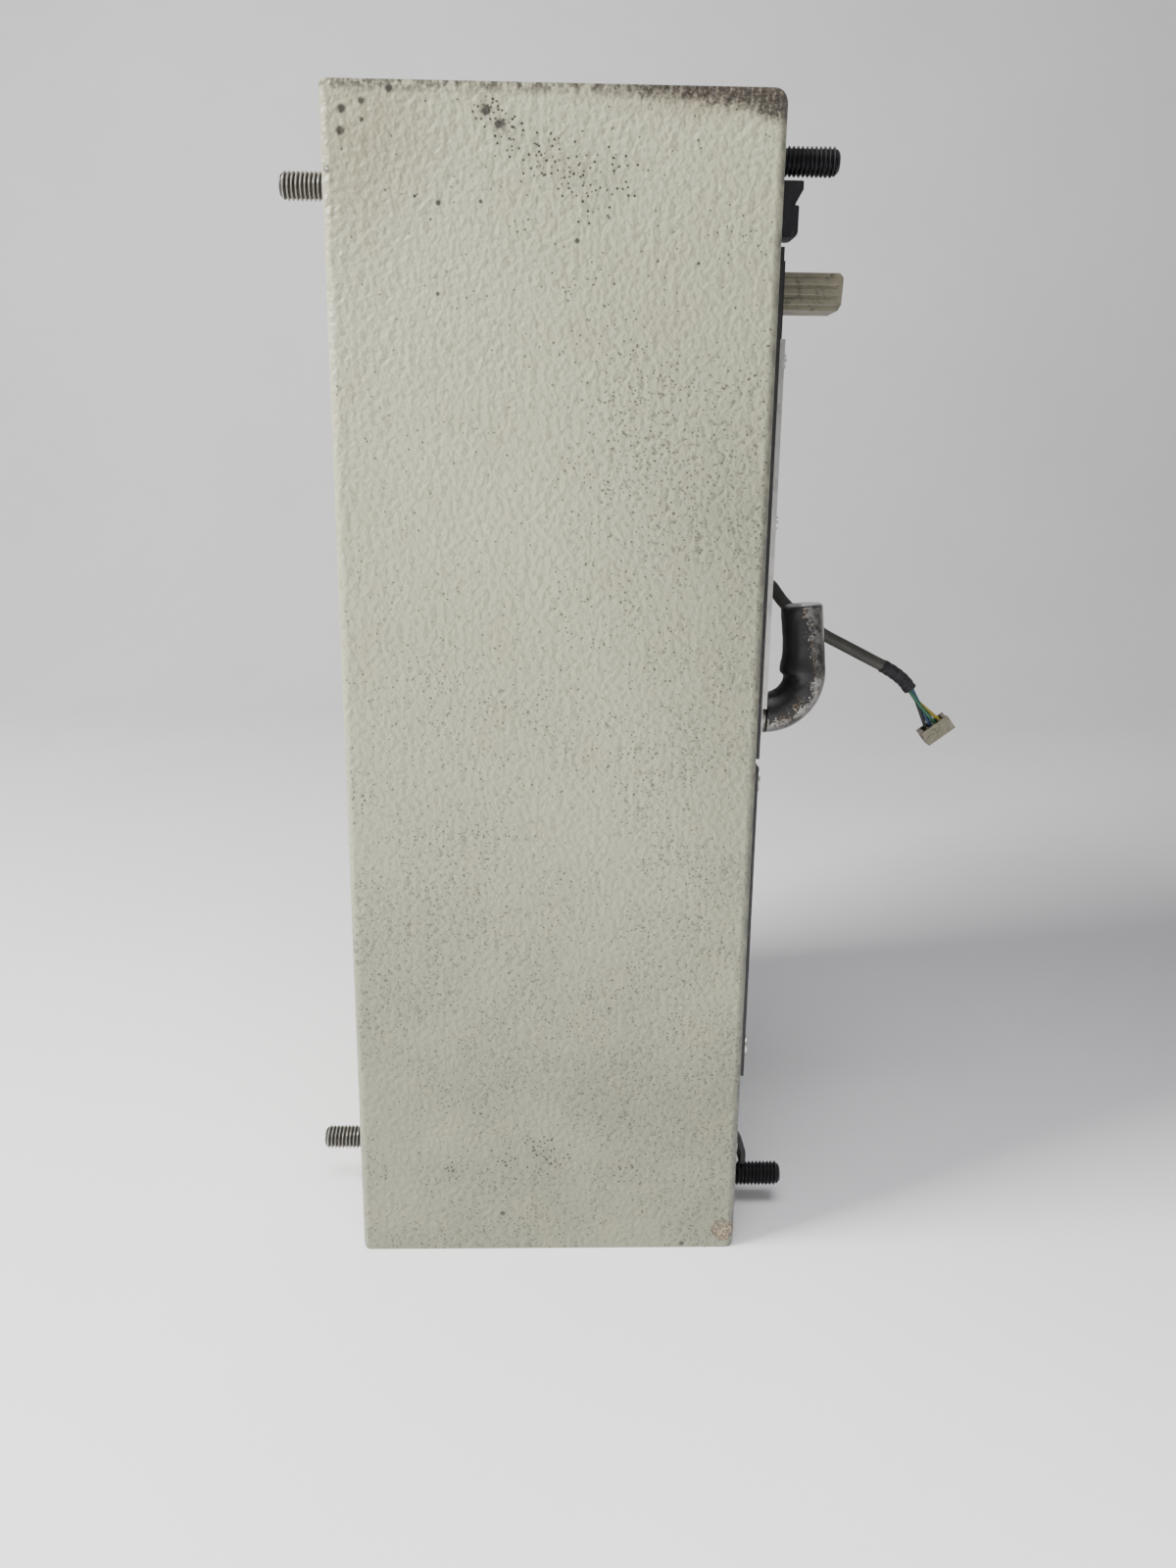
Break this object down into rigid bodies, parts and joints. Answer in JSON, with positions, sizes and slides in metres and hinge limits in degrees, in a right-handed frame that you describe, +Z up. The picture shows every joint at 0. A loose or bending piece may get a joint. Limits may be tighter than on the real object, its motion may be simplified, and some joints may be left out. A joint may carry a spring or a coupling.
{
  "type": "breaker panel box",
  "caption": "Tall folded-steel breaker box with a hinged door, toggle, bent latch lever, screwed lower cover, threaded mounting studs front and rear, and a short signal lead.",
  "frame": {"origin": "middle of the rear stud pattern, on the outer rear face", "axes": "+X to the right seen from the front, +Y out of the rear face along the rear studs, +Z up; the front face is at Y = -0.120"},
  "size_m": [0.203, 0.2136, 0.34],
  "materials": {
    "powder_coat": "textured off-white powder coat, grimy",
    "zinc_plate": "zinc plated, dull",
    "black_oxide": "blackened steel, oily",
    "black_rubber": "matt foam and rubber",
    "black_moulding": "moulded phenolic",
    "ivory_plastic": "aged ivory plastic",
    "contact_metal": "bare brass and copper alloy",
    "red_plastic": "gloss red",
    "black_paint": "worn black paint",
    "chrome_plate": "nickel-chrome plate with grease",
    "cable_jacket": "grey jacket",
    "sleeve_tape": "black wrapped tape",
    "wire_insulation": "coloured wire insulation"
  },
  "bodies": {
    "housing": {"shell": "powder_coat", "front_panel": "powder_coat", "rear_studs": "zinc_plate", "front_studs": "black_oxide", "upper_lug": "black_oxide", "lower_lug": "black_oxide", "mounting_plate": "zinc_plate", "standoffs": "zinc_plate", "plate_screws": "zinc_plate", "cable_grommets": "black_rubber", "breaker_base": "black_moulding", "breaker_cover": "black_moulding", "breaker_screws": "zinc_plate", "toggle_pin": "zinc_plate", "fixed_contacts": "contact_metal", "terminals": "contact_metal", "terminal_screws": "zinc_plate", "arc_chutes": "zinc_plate", "neutral_bar": "contact_metal", "earth_bar": "contact_metal", "bar_insulators": "ivory_plastic", "bar_screws": "zinc_plate", "fixed_hinge_leaves": "black_oxide", "hinge_pins": "zinc_plate", "hinge_screws": "zinc_plate", "lower_cover": "black_paint", "lower_gasket": "black_rubber", "cover_screws": "zinc_plate"},
    "door_body": {"door": "black_paint", "door_gasket": "black_rubber", "latch_plate": "zinc_plate", "latch_rivets": "zinc_plate", "door_hinge_leaves": "black_oxide", "latch_bushing": "chrome_plate", "latch_nut": "zinc_plate", "lead_grommet": "black_rubber", "signal_lead": "cable_jacket", "lead_sleeve": "sleeve_tape", "lead_wires": "wire_insulation", "connector": "ivory_plastic"},
    "lever_body": {"lever": "chrome_plate", "latch_cam": "zinc_plate", "cam_screw": "zinc_plate"},
    "toggle_body": {"toggle": "ivory_plastic"},
    "contact_body": {"contact_bar": "contact_metal"},
    "button_body": {"trip_button": "red_plastic"}
  },
  "joints": [
    {"name": "door_swing", "type": "hinge", "parent": "housing", "child": "door_body", "pos_m": [0.0785, -0.124, 0.0635], "axis": [0, 0, 1], "range_deg": [0, 110]},
    {"name": "lever_turn", "type": "hinge", "parent": "door_body", "child": "lever_body", "pos_m": [-0.06, -0.128, -0.0006], "axis": [0, -1, 0], "range_deg": [0, 90]},
    {"name": "toggle_throw", "type": "hinge", "parent": "housing", "child": "toggle_body", "pos_m": [-0.053, -0.08, 0.112], "axis": [1, 0, 0], "range_deg": [0, 28]},
    {"name": "contact_turn", "type": "hinge", "parent": "housing", "child": "contact_body", "pos_m": [-0.053, -0.076, 0.086], "axis": [1, 0, 0], "range_deg": [-24, 0]},
    {"name": "button_press", "type": "slide", "parent": "housing", "child": "button_body", "axis": [0, 1, 0], "range_m": [0, 0.0015], "stiffness_N_per_m": 300}
  ],
  "couplings": [
    {"joint": "contact_turn", "follows": "toggle_throw", "ratio": -0.8}
  ]
}
